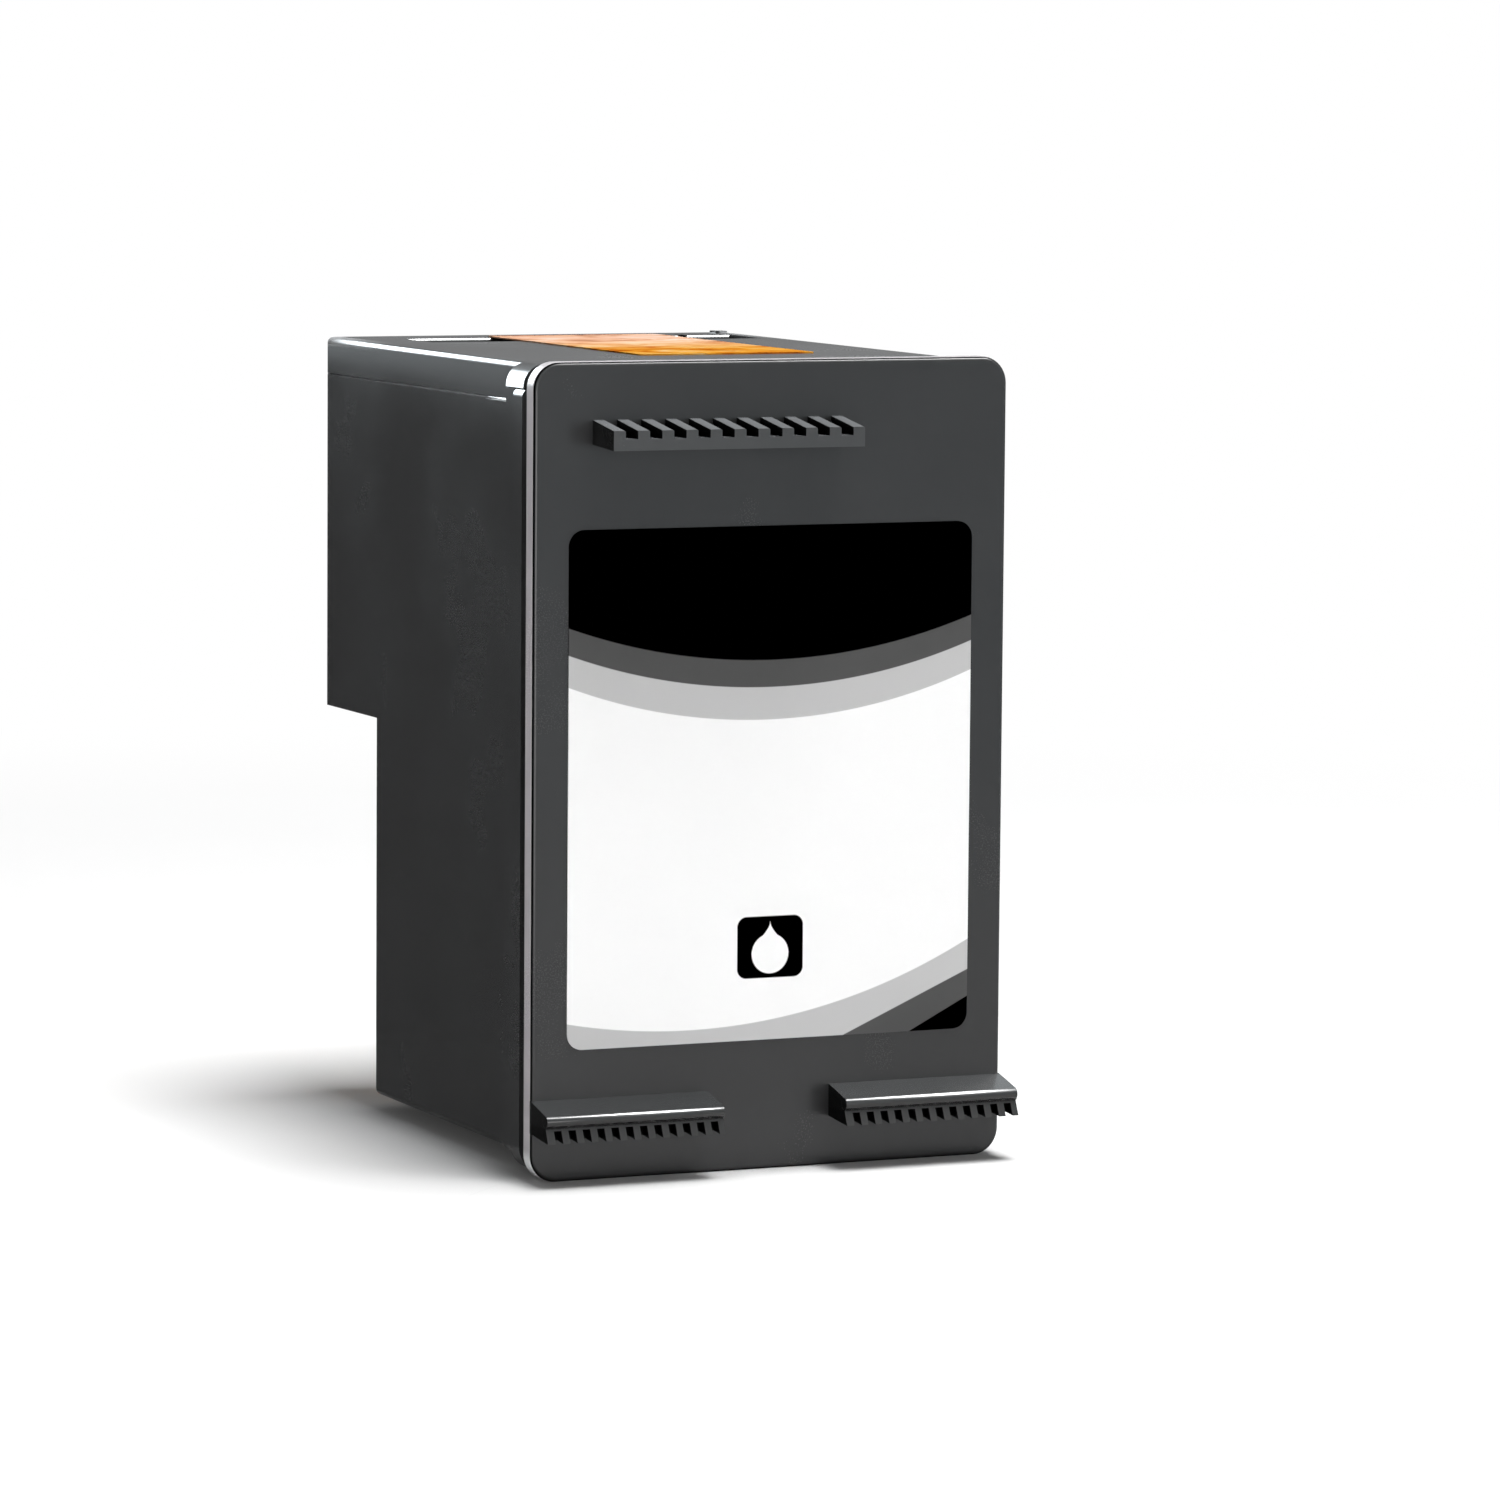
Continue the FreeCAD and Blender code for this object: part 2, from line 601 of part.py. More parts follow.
def add_vent(body):
    """Trough across the lid, and the winding channel that the top label closes in front of it."""
    trough = new_sketch(body, "XY_Plane", "TroughOutline", LID_TOP)
    box_outline(trough, "-trough_left", "trough_right", "trough_front", "trough_rear")
    pocket(body, "Trough", trough, "trough_depth")
    top = worth(LID_TOP)
    round_edges(body, "TroughRearEdge", "trough_round",
                lambda edge: runs_along(edge, ALONG_X) and lies_at(edge, y=SIZES["trough_rear"], z=top))
    notch = new_sketch(body, "XY_Plane", "NotchOutline", LID_TOP)
    box_outline(notch, "notch_left", "notch_left + notch_width", "trough_rear - " + MARGIN,
                "trough_rear + notch_length")
    pocket(body, "Notch", notch, "trough_depth")
    first = "vent_channel_start"
    front = "vent_channel_front"
    rear = "vent_channel_rear"
    lane = new_sketch(body, "XY_Plane", "VentLaneOutline", LID_TOP)
    box_outline(lane, first, first + " + vent_channel_width", front, rear)
    cut = pocket(body, "VentLane", lane, "vent_channel_depth")
    row_of(body, "VentLanes", [cut], "X_Axis", "vent_channel_pitch", "vent_channel_count")
    turns = {
        "Rear": (first, rear + " - vent_channel_width", rear, "(vent_channel_count / 2)"),
        "Front": (first + " + vent_channel_pitch", front, front + " + vent_channel_width",
                  "(vent_channel_count / 2 - 1)"),
    }
    for name, (left, low, high, count) in turns.items():
        turn = new_sketch(body, "XY_Plane", name + "TurnOutline", LID_TOP)
        box_outline(turn, left, left + " + vent_channel_pitch + vent_channel_width", low, high)
        cut = pocket(body, name + "Turn", turn, "vent_channel_depth")
        row_of(body, name + "Turns", [cut], "X_Axis", "(2 * vent_channel_pitch)", count)
    last = "(vent_channel_start + vent_channel_pitch * (vent_channel_count - 1))"
    way_out = new_sketch(body, "XY_Plane", "WayOutOutline", LID_TOP)
    box_outline(way_out, last, last + " + vent_channel_width", front, "trough_front + " + MARGIN)
    pocket(body, "WayOut", way_out, "vent_channel_depth")
    vent = new_sketch(body, "XY_Plane", "VentHoleOutline", LID_TOP)
    circle(vent, "vent_channel_start + vent_channel_width / 2",
           "vent_channel_front + vent_channel_width", "vent_hole_radius")
    pocket(body, "VentHole", vent, "lid_thickness + " + MARGIN)


def make_lid():
    """Lid welded on the tank: front lip over the band, tongue inside the wall, ribs on the foam."""
    body = new_body("lid")
    cover = new_sketch(body, "XY_Plane", "CoverOutline", SEAM)
    box_outline(cover, "-" + TANK_TOP_SIDE, TANK_TOP_SIDE, BAND_REAR, "tank_depth")
    pad(body, "Cover", cover, "lid_side_depth")

    def rear_corner(edge):
        return runs_along(edge, ALONG_Z) and lies_at(edge, y=SIZES["tank_depth"])

    round_edges(body, "CoverCorners", "tank_corner_radius", rear_corner)
    top = SIZES["plate_height"] - SIZES["lid_drop"]
    rim = SIZES["plate_thickness"] + SIZES["groove_width"] + SIZES["rib_thickness"] + SIZES["band_thickness"]
    round_edges(body, "CoverEdges", "lid_edge_round",
                lambda edge: lies_at(edge, z=top) and not lies_at(edge, y=rim))
    lip = new_sketch(body, "XZ_Plane", "LipOutline", "-" + BAND_REAR)
    side = "(plate_width / 2 - band_inset)"
    corner = "lid_front_depth - lid_drop / 4"
    outline(lip, [
        ("-" + side, FRONT_SEAM), (side, FRONT_SEAM), (side, LID_TOP, corner), ("-" + side, LID_TOP, corner),
    ])
    pad(body, "Lip", lip, "rib_thickness + band_thickness")
    gap = "(wall + tongue_gap)"
    tongue = new_sketch(body, "XY_Plane", "TongueOutline", SEAM + " - tongue_depth")
    outer = "(%s - tongue_gap)" % CAVITY_SIDE
    box_outline(tongue, "-" + outer, outer, "front_wall + tongue_gap", "tank_depth - " + gap)
    pad(body, "Tongue", tongue, "%s - %s + tongue_depth" % (LID_CEILING, SEAM))

    def tongue_corner(edge):
        wide = abs(abs(edge.CenterOfMass.x) - worth(outer)) < NEAR
        return runs_along(edge, ALONG_Z) and wide and edge.BoundBox.ZMin < top - SIZES["lid_side_depth"]

    round_edges(body, "TongueCorners", "cavity_corner_radius", tongue_corner)
    hollow = new_sketch(body, "XY_Plane", "HollowOutline", SEAM + " - tongue_depth")
    inner = "(%s - tongue_gap - tongue_thickness)" % CAVITY_SIDE
    box_outline(hollow, "-" + inner, inner, "front_wall + tongue_gap + tongue_thickness",
                "tank_depth - %s - tongue_thickness" % gap)
    pocket(body, "Hollow", hollow, "%s - %s + tongue_depth" % (LID_CEILING, SEAM), backward=True)
    rib = new_sketch(body, "XY_Plane", "FoamRibOutline", FOAM_TOP)
    first = "(-foam_rib_pitch * (foam_rib_count - 1) / 2)"
    box_outline(rib, first + " - foam_rib_thickness / 2", first + " + foam_rib_thickness / 2",
                "front_wall + foam_rib_end_gap", "tank_depth - wall - foam_rib_end_gap")
    base = pad(body, "FoamRib", rib, "%s - %s + lid_thickness / 4" % (LID_CEILING, FOAM_TOP))
    row_of(body, "FoamRibs", [base], "X_Axis", "foam_rib_pitch", "foam_rib_count")
    add_vent(body)
    fill = new_sketch(body, "XY_Plane", "FillHoleOutline", LID_TOP)
    circle(fill, "-fill_hole_across", "fill_hole_back", "fill_hole_radius")
    pocket(body, "FillHole", fill, "lid_thickness + " + MARGIN)
    nub = new_sketch(body, "XY_Plane", "NubOutline", LID_TOP + " - lid_thickness / 2")
    right = "(%s - nub_side_gap)" % TANK_TOP_SIDE
    rear = "(tank_depth - nub_rear_gap)"
    box_outline(nub, right + " - nub_width", right, rear + " - nub_length", rear)
    pad(body, "Nub", nub, "nub_height + lid_thickness / 2")


def make_slab(label, outline_name, spans, low, height, radius=""):
    """Flat rectangular piece, with rounded corners where a radius is given."""
    body = new_body(label)
    sketch = new_sketch(body, "XY_Plane", outline_name, low)
    box_outline(sketch, *spans)
    pad(body, "Slab", sketch, height)
    if radius:
        round_edges(body, "Corners", radius, lambda edge: runs_along(edge, ALONG_Z))
    return body


def make_foam():
    """Foam block that fills the chamber, stepped like the tank."""
    body = new_body("foam_block")
    side = "(%s - foam_gap)" % CAVITY_SIDE
    profile = new_sketch(body, "YZ_Plane", "FoamOutline", "-" + side)
    front = "(front_wall + foam_gap)"
    lower_rear = "(tank_lower_depth - wall - foam_gap)"
    rear = "(tank_depth - wall - foam_gap)"
    shelf = "(%s + foam_gap)" % STEP_FLOOR
    outline(profile, [
        (front, FILTER_TOP), (lower_rear, FILTER_TOP), (lower_rear, shelf),
        (rear, shelf), (rear, FOAM_TOP), (front, FOAM_TOP),
    ])
    pad(body, "Foam", profile, "2 * " + side)
    round_edges(body, "FoamCorners", "cavity_corner_radius",
                lambda edge: runs_along(edge, ALONG_Z)
                and not lies_at(edge, y=SIZES["tank_lower_depth"] - SIZES["wall"] - SIZES["foam_gap"]))


def make_head():
    """Filter on the standpipe, and the stack of adhesive, die and nozzle plate in the seat."""
    make_slab("filter_screen", "ScreenOutline", middle_spans("filter_width", "filter_width"),
              "standpipe_top", "filter_thickness", "standpipe_corner_radius")
    layers = {
        "die_adhesive": (DIE_TOP, "adhesive_thickness"),
        "printhead_die": (DIE_BOTTOM, "die_thickness"),
    }
    for label, (low, height) in layers.items():
        body = make_slab(label, "LayerOutline", middle_spans("die_width", "die_length"), low, height)
        slot = new_sketch(body, "XY_Plane", "SlotOutline", low)
        box_outline(slot, *middle_spans("ink_slot_width", "ink_slot_length"))
        pocket(body, "Slot", slot, height, backward=True)
    make_slab("nozzle_plate", "PlateOutline", middle_spans("die_width", "die_length"),
              HEAD_BOTTOM, "nozzle_plate_thickness")


def make_flex_circuit():
    """Flexible circuit: a panel on the rear wall, bent under the snout, with a window for the die."""
    body = new_body("flex_circuit")
    profile = new_sketch(body, "YZ_Plane", "CircuitOutline", "-flex_panel_width / 2")
    front = "(%s + flex_front_gap)" % LAND_FRONT
    under = "(land_height - flex_thickness)"
    outside = "(tank_lower_depth + flex_thickness)"
    outline(profile, [
        (front, "land_height"), (front, under), (outside, under), (outside, FLEX_TOP),
        ("tank_lower_depth", FLEX_TOP), ("tank_lower_depth", "land_height"),
    ])
    pad(body, "Sheet", profile, "flex_panel_width")
    inner = (SIZES["tank_lower_depth"], SIZES["land_height"])
    outer = (inner[0] + SIZES["flex_thickness"], inner[1] - SIZES["flex_thickness"])
    for name, radius, place in (("InnerBend", "bend_radius", inner),
                                ("OuterBend", "bend_radius + flex_thickness", outer)):
        round_edges(body, name, radius,
                    lambda edge: runs_along(edge, ALONG_X) and lies_at(edge, y=place[0], z=place[1]))
    for name, near, far in (("LeftNeck", "-flex_panel_width / 2 - " + MARGIN, "-flex_strip_width / 2"),
                            ("RightNeck", "flex_strip_width / 2", "flex_panel_width / 2 + " + MARGIN)):
        neck = new_sketch(body, "XY_Plane", name + "Outline")
        box_outline(neck, near, far, front + " - " + MARGIN, outside + " + " + MARGIN)
        pocket(body, name, neck, "flex_panel_bottom", backward=True)
    window = new_sketch(body, "XY_Plane", "WindowOutline")
    width = "(die_width + 2 * window_gap)"
    length = "(die_length + 2 * window_gap)"
    box_outline(window, *middle_spans(width, length))
    pocket(body, "Window", window, "land_height", backward=True)


def make_beads():
    """Encapsulant bead over the leads at each end of the die."""
    ends = {"front": "-", "rear": "+"}
    for end, sign in ends.items():
        inward = "+" if sign == "-" else "-"
        edge_of_die = "(%s %s die_length / 2)" % (DIE_MIDDLE, sign)
        inner = "%s %s bead_overlap" % (edge_of_die, inward)
        window = "%s %s window_gap" % (edge_of_die, sign)
        reach = "%s %s bead_reach" % (edge_of_die, sign)
        body = new_body("encapsulant_" + end)
        profile = new_sketch(body, "YZ_Plane", "BeadOutline", "-bead_length / 2")
        under = "(land_height - flex_thickness)"
        bottom = "(%s - bead_height)" % under
        outline(profile, [
            (inner, bottom), (reach, bottom), (reach, under), (window, under),
            (window, "land_height"), (edge_of_die, "land_height"), (edge_of_die, HEAD_BOTTOM),
            (inner, HEAD_BOTTOM),
        ])
        pad(body, "Bead", profile, "bead_length")
        low = SIZES["land_height"] - SIZES["flex_thickness"] - SIZES["bead_height"]
        round_edges(body, "BeadEdges", "bead_round", lambda edge: lies_at(edge, z=low))


def make_pads():
    """Two clusters of contact pads on the rear of the circuit, one group of separate solids."""
    pads = []
    ends = "(pad_row_count - 1) * pad_end_gap"
    height = "((%s - pad_top_gap - pad_bottom - %s) / pad_row_count)" % (FLEX_TOP, ends)
    for side in (-1, 1):
        for column in range(SIZES["pad_column_count"]):
            for row in range(SIZES["pad_row_count"]):
                pad_box = doc.addObject("Part::Box", "Pad")
                pad_box.setExpression("Length", bound("pad_width"))
                pad_box.setExpression("Width", bound("pad_thickness"))
                pad_box.setExpression("Height", bound(height))
                inner = "pad_inner_side + %d * (pad_width + pad_side_gap)" % column
                across = inner if side > 0 else "-(%s + pad_width)" % inner
                up = "pad_bottom + %d * (%s + pad_end_gap)" % (row, height)
                pad_box.setExpression("Placement.Base.x", bound(across))
                pad_box.setExpression("Placement.Base.y", bound("tank_lower_depth + flex_thickness"))
                pad_box.setExpression("Placement.Base.z", bound(up))
                pads.append(pad_box)
    group = doc.addObject("Part::Compound", "contact_pads")
    group.Label = "contact_pads"
    group.Links = pads
    group.setExpression("Placement.Base.y", bound("(upper_ledge_reach - tank_depth) / 2"))


def make_labels():
    """Front label on the plate, and top label on the lid, over the fill hole and the vent."""
    body = new_body("front_label")
    face = new_sketch(body, "XZ_Plane", "LabelOutline")
    side = "(plate_width / 2 - front_label_side)"
    box_outline(face, "-" + side, side, "front_label_bottom", "plate_height - front_label_top")
    pad(body, "Label", face, "label_thickness")
    round_edges(body, "LabelCorners", "front_label_radius", lambda edge: runs_along(edge, ALONG_Y))
    make_slab("top_label", "LabelOutline",
              ("-top_label_left", "top_label_right", "top_label_front", "top_label_rear"),
              LID_TOP, "label_thickness", "top_label_radius")


def write_parts():
    """Check every object, then write each labelled sub-part to its own file."""
    doc.recompute()
    failed = [item.Name for item in doc.Objects if {"Invalid", "Error"} & set(item.State)]
    if failed:
        raise RuntimeError("failed objects: " + ", ".join(failed))
    pieces = [item for item in doc.Objects if item.TypeId in ("PartDesign::Body", "Part::Compound")]
    for piece in pieces:
        if piece.Shape.isNull() or not piece.Shape.isValid() or not piece.Shape.Solids:
            raise RuntimeError("bad shape: " + piece.Label)
    os.makedirs("parts", exist_ok=True)
    for piece in pieces:
        piece.Shape.exportStep("parts/%s.step" % piece.Label)
        box = piece.Shape.BoundBox
        print("%-16s solids %2d volume %9.2f  x %7.2f %7.2f  y %7.2f %7.2f  z %6.2f %6.2f" % (
            piece.Label, len(piece.Shape.Solids), piece.Shape.Volume,
            box.XMin, box.XMax, box.YMin, box.YMax, box.ZMin, box.ZMax))


make_sheet()
make_cartridge_body()
make_lid()
make_foam()
make_head()
make_flex_circuit()
make_beads()
make_pads()
make_labels()
write_parts()
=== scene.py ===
"""Look of the inkjet ink cartridge: materials, printed films, light, floor and camera.

Metres, +Z up, the labelled plate facing -Y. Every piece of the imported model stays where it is. Places on the
part are in millimetres, in the same frame.
"""
import math
import bpy
from mathutils import Matrix, Vector


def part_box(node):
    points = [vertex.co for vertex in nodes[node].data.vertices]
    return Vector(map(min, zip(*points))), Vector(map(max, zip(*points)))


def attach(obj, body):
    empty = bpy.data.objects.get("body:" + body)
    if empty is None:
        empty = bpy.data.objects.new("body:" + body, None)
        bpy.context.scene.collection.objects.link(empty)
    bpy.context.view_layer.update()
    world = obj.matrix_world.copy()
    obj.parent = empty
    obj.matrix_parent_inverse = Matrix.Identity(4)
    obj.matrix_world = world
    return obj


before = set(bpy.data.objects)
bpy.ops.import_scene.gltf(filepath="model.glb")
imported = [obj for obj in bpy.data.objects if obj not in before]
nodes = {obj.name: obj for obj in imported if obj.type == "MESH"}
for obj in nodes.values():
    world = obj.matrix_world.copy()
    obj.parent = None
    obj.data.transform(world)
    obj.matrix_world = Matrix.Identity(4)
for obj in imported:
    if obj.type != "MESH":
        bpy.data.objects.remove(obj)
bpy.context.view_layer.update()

scene = bpy.context.scene
scene.view_settings.view_transform = "Standard"

MM = 0.001
WHITE = (1, 1, 1, 1)
BLACK = (0, 0, 0, 1)
# Tint of the studio in reflections
COOL = (0.88, 0.96, 1.0, 1)


def corners_mm(node):
    """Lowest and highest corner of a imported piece, in millimetres."""
    return [[round(value / MM, 3) for value in corner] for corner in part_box(node)]


BODY = corners_mm("cartridge_body")
LID = corners_mm("lid")
FRONT_LABEL = corners_mm("front_label")
TOP_LABEL = corners_mm("top_label")
FLEX = corners_mm("flex_circuit")
PADS = corners_mm("contact_pads")

# Plate, groove behind it and lip of the lid, from front to rear
PLATE_HALF_WIDTH = BODY[1][0]
PLATE_HALF_HEIGHT = BODY[1][2] / 2
PLATE_CORNER = 2.0
PLATE_THICKNESS = 1.4
PLATE_FRONT = FRONT_LABEL[1][1]
PLATE_REAR = PLATE_FRONT + PLATE_THICKNESS
GROOVE_REAR = LID[0][1]
LIP_REAR = -15.1

# Tank, and the seam under its lid with the flash at the seam's front end
TANK_SIDE = 17.2
TANK_REAR = BODY[1][1]
LID_TOP = TOP_LABEL[0][2]
SEAM_HEIGHT = 56.9
FLASH_START = -8.0

# A height between the finger ledge and the two latch ledges
BETWEEN_LEDGES = 45.0
# Latch ledges: the neck between toothed lip and shoulder, and the middle of the shoulder's round in y and z
LEDGE_LENGTH = 14.1
LATCH_NECK = 4.45
SHOULDER_RADIUS = 0.45
SHOULDER_PLACE = (-24.785, 4.967)


def grey(value):
    """Linear grey of a screen value from 0 to 255."""
    share = value / 255
    return share / 12.92 if share <= 0.04045 else ((share + 0.055) / 1.055) ** 2.4


def colour(red, green, blue):
    """Linear colour of three screen values from 0 to 255."""
    return (grey(red), grey(green), grey(blue), 1.0)


class NodeTree:
    """One node tree, with short calls that add nodes to it."""

    def __init__(self, tree):
        self.tree = tree

    def add(self, kind, inputs=None, **settings):
        """New node with its settings and inputs."""
        node = self.tree.nodes.new("ShaderNode" + kind)
        for name, value in settings.items():
            setattr(node, name, value)
        for name, value in (inputs or {}).items():
            self.feed(node.inputs[name], value)
        return node

    def feed(self, socket, value):
        """Link an output to the socket, or set its constant."""
        if isinstance(value, bpy.types.NodeSocket):
            self.tree.links.new(value, socket)
        else:
            socket.default_value = value

    def math(self, operation, first, second=0.0):
        """Result of one sum."""
        return self.add("Math", {0: first, 1: second}, operation=operation).outputs[0]

    def minus(self, first, second):
        """First value less the second."""
        return self.math("SUBTRACT", first, second)

    def larger(self, first, second):
        """The larger of two values."""
        return self.math("MAXIMUM", first, second)

    def above(self, value, limit):
        """One where the value is more than the limit."""
        return self.math("GREATER_THAN", value, limit)

    def below(self, value, limit):
        """One where the value is less than the limit."""
        return self.math("LESS_THAN", value, limit)

    def unsigned(self, value):
        """Value without its sign."""
        return self.math("ABSOLUTE", value)

    def product(self, first, *others):
        """Values multiplied."""
        result = first
        for value in others:
            result = self.math("MULTIPLY", result, value)
        return result

    def length(self, across, up):
        """Length of a line from its two parts."""
        return self.math("SQRT", self.math("ADD", self.product(across, across), self.product(up, up)))

    def step(self, value, low, high, start=0.0, end=1.0):
        """Value eased from start to end between low and high."""
        inputs = {"Value": value, "From Min": low, "From Max": high, "To Min": start, "To Max": end}
        return self.add("MapRange", inputs, interpolation_type="SMOOTHSTEP").outputs["Result"]

    def between(self, value, low, high, ease):
        """One inside a span and nought outside it, eased inward from both ends."""
        return self.product(self.step(value, low, low + ease), self.step(value, high, high - ease))

    def mix(self, share, first, second):
        """Two colours mixed by a share."""
        node = self.add("Mix", {"Factor": share}, data_type="RGBA")
        self.feed(node.inputs[6], first)
        self.feed(node.inputs[7], second)
        return node.outputs[2]

    def seen(self, path):
        """One for the rays of the camera, of reflections and through glass."""
        shown = self.larger(path["Is Camera Ray"], path["Is Glossy Ray"])
        return self.larger(shown, path["Is Transmission Ray"])


class Look(NodeTree):
    """One node material."""

    def __init__(self, name):
        self.material = bpy.data.materials.new(name)
        self.material.use_nodes = True
        super().__init__(self.material.node_tree)
        self.shader = self.tree.nodes["Principled BSDF"]
        self.place = self.add("TexCoord").outputs["Object"]

    def set(self, **inputs):
        """Set or link sockets of the material's own shader."""
        for name, value in inputs.items():
            self.feed(self.shader.inputs[name.replace("_", " ")], value)

    def noise(self, scale, detail=2.0, roughness=0.5, vector=None, distortion=0.0):
        """Noise value at a scale per metre."""
        inputs = {
            "Vector": vector or self.place, "Scale": scale, "Detail": detail,
            "Roughness": roughness, "Distortion": distortion,
        }
        return self.add("TexNoise", inputs).outputs["Fac"]

    def bump(self, height, distance=1.0):
        """Surface relief from a height value, times a distance in metres."""
        inputs = {"Height": height, "Distance": distance, "Strength": 1.0}
        self.set(Normal=self.add("Bump", inputs).outputs["Normal"])

    def millimetres(self):
        """The three coordinates of the place, in millimetres."""
        scaled = self.add("VectorMath", {0: self.place, "Scale": 1 / MM}, operation="SCALE").outputs[0]
        parts = self.add("SeparateXYZ", {"Vector": scaled}).outputs
        return parts[0], parts[1], parts[2]

    def openness(self, distance):
        """Share of the directions that are free of other surfaces, up to a distance in metres."""
        return self.add("AmbientOcclusion", {"Distance": distance}, samples=8).outputs["AO"]

    def past_corners(self, across, up, half_width, half_height, corner):
        """How far a place lies outside the box through the middles of a rectangle's round corners."""
        over_across = self.larger(self.minus(across, half_width - corner), 0.0)
        over_up = self.larger(self.minus(up, half_height - corner), 0.0)
        return self.length(over_across, over_up)

    def wear(self, node):
        """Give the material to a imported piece."""
        nodes[node].data.materials.clear()
        nodes[node].data.materials.append(self.material)


# Strength of the black plastic's reflections
GLOSS = 0.4


def moulded(name, tone):
    """Black moulded plastic: its look, its mottled colour and its fine grain."""
    grain_height = 0.0000004
    look = Look(name)
    clouds = look.noise(90, detail=3)
    fine = look.noise(9000)
    dark = (tone * 0.92, tone * 0.92, tone * 0.94, 1)
    pale = (tone * 1.08, tone * 1.08, tone * 1.10, 1)
    cloudy_sheen = look.step(clouds, 0.3, 0.7, 0.21, 0.27)
    fine_sheen = look.step(fine, 0.3, 0.7, -0.01, 0.01)
    look.set(Roughness=look.math("ADD", cloudy_sheen, fine_sheen))
    return look, look.mix(clouds, dark, pale), look.product(fine, grain_height)


def ledges_painted_lit(look, shade, upper, lower, upward):
    """Tones of the ledges with painted light: each painted paler on its top as if lit from above, the finger
    ledge paler all over.
    """
    upper_lit_tone = look.mix(upward, (0.050, 0.051, 0.052, 1), (0.150, 0.157, 0.163, 1))
    lower_lit_tone = look.mix(upward, (0.018, 0.018, 0.018, 1), (0.038, 0.040, 0.041, 1))
    return look.mix(lower, look.mix(upper, shade, upper_lit_tone), lower_lit_tone)


def rim_painted_highlight(look, shade, outward, y, z):
    """Painted highlight on the rim round the plate, brighter still at its foot."""
    rim = look.product(look.step(outward, PLATE_CORNER - 0.07, PLATE_CORNER - 0.03),
                       look.between(y, PLATE_FRONT + 0.12, PLATE_REAR, 0.08))
    foot = look.product(look.step(z, 2.6, 1.4), look.step(z, 0.25, 0.8))
    return look.mix(rim, shade, look.mix(foot, (0.56, 0.53, 0.55, 1), (0.95, 0.96, 0.97, 1)))


def painted_dark_line_mask(look, outward, y):
    """Dark line painted just behind the plate's front edge, a painted dark reflection."""
    return look.product(look.step(outward, PLATE_CORNER - 0.22, PLATE_CORNER - 0.18),
                        look.step(y, PLATE_FRONT + 0.03, PLATE_FRONT + 0.07),
                        look.step(y, PLATE_FRONT + 0.22, PLATE_FRONT + 0.16))


def seam_mask(look, across, y, z):
    """Edge of the tank under the lid, from the flash's thin end to the rear."""
    return look.product(look.step(z, SEAM_HEIGHT - 0.18, SEAM_HEIGHT - 0.14),
                        look.step(across, TANK_SIDE - 0.15, TANK_SIDE - 0.13),
                        look.step(y, FLASH_START - 2.0, FLASH_START - 0.2))


def flash_highlight_mask(look, y, z):
    """Thin wedge of flash, which grows from its start towards the plate; it is painted near white as a painted
    highlight.
    """
    foot_height = SEAM_HEIGHT - 0.26
    growth = 0.052
    soft = 0.02
    over_foot = look.minus(z, foot_height)
    thickness = look.product(look.minus(FLASH_START, y), growth)
    return look.product(look.step(look.minus(thickness, over_foot), -soft, soft),
                        look.step(over_foot, -soft, soft),
                        look.below(y, FLASH_START), look.above(y, LIP_REAR + 0.2))


def body_look():
    """Body plastic, with painted light and shade on its ledges, slots, groove, plate rim, seam and flash."""
    slot_reach = 0.0012
    look, shade, grain = moulded("body_plastic", 0.022)
    x, y, z = look.millimetres()
    across = look.unsigned(x)
    facing = look.add("SeparateXYZ", {"Vector": look.add("NewGeometry").outputs["Normal"]}).outputs
    upward = look.step(facing[2], 0.4, 0.7)
    ledge = look.step(y, PLATE_FRONT, PLATE_FRONT - 0.1)
    upper = look.product(ledge, look.above(z, BETWEEN_LEDGES))
    lower = look.minus(ledge, upper)
    shade = ledges_painted_lit(look, shade, upper, lower, upward)
    # Painted light: the groove behind the plate is painted paler, lifting the shade that falls in it
    groove = look.between(y, PLATE_REAR - 0.02, GROOVE_REAR + 0.02, 0.04)
    shade = look.mix(groove, shade, (0.055, 0.055, 0.055, 1))
    # Painted highlight on the rim of the plate, brighter at its foot
    up = look.unsigned(look.minus(z, PLATE_HALF_HEIGHT))
    outward = look.past_corners(across, up, PLATE_HALF_WIDTH, PLATE_HALF_HEIGHT, PLATE_CORNER)
    shade = rim_painted_highlight(look, shade, outward, y, z)
    # Painted shade: the slots between the teeth, the left ends of the ledges and the dark line behind the
    # plate's front edge are painted almost black and lose their gloss
    toothed = look.larger(upper, look.product(lower, look.step(z, LATCH_NECK + 0.05, LATCH_NECK - 0.15)))
    clear = look.larger(look.step(look.openness(slot_reach), 0.35, 0.80), look.minus(1.0, toothed))
    left_end = look.product(ledge, look.step(facing[0], -0.5, -0.8))
    dark = look.larger(look.product(left_end, 0.88), painted_dark_line_mask(look, outward, y))
    clear = look.product(clear, look.minus(1.0, dark))
    shade = look.mix(clear, (0.001, 0.001, 0.001, 1), shade)
    # The seam's small round would gleam, so it loses its gloss and is painted a pale tone that stands in for
    # the wall's reflected sheen, paler towards the front
    seam = seam_mask(look, across, y, z)
    painted_wall_sheen = look.mix(look.step(y, FLASH_START, TANK_REAR), (0.27, 0.28, 0.29, 1), (0.13, 0.135, 0.14, 1))
    shade = look.mix(seam, shade, painted_wall_sheen)
    # Painted highlight on the flash
    shade = look.mix(flash_highlight_mask(look, y, z), shade, (0.80, 0.84, 0.86, 1))
    teeth = look.product(lower, look.step(z, LATCH_NECK + 0.05, LATCH_NECK - 0.05))
    gloss = look.product(clear, look.step(seam, 0.0, 1.0, GLOSS, 0.0), look.step(teeth, 0.0, 1.0, 1.0, 0.35))
    look.set(Base_Color=shade, Specular_IOR_Level=gloss)
    look.bump(grain)
    look.wear("cartridge_body")
    return look


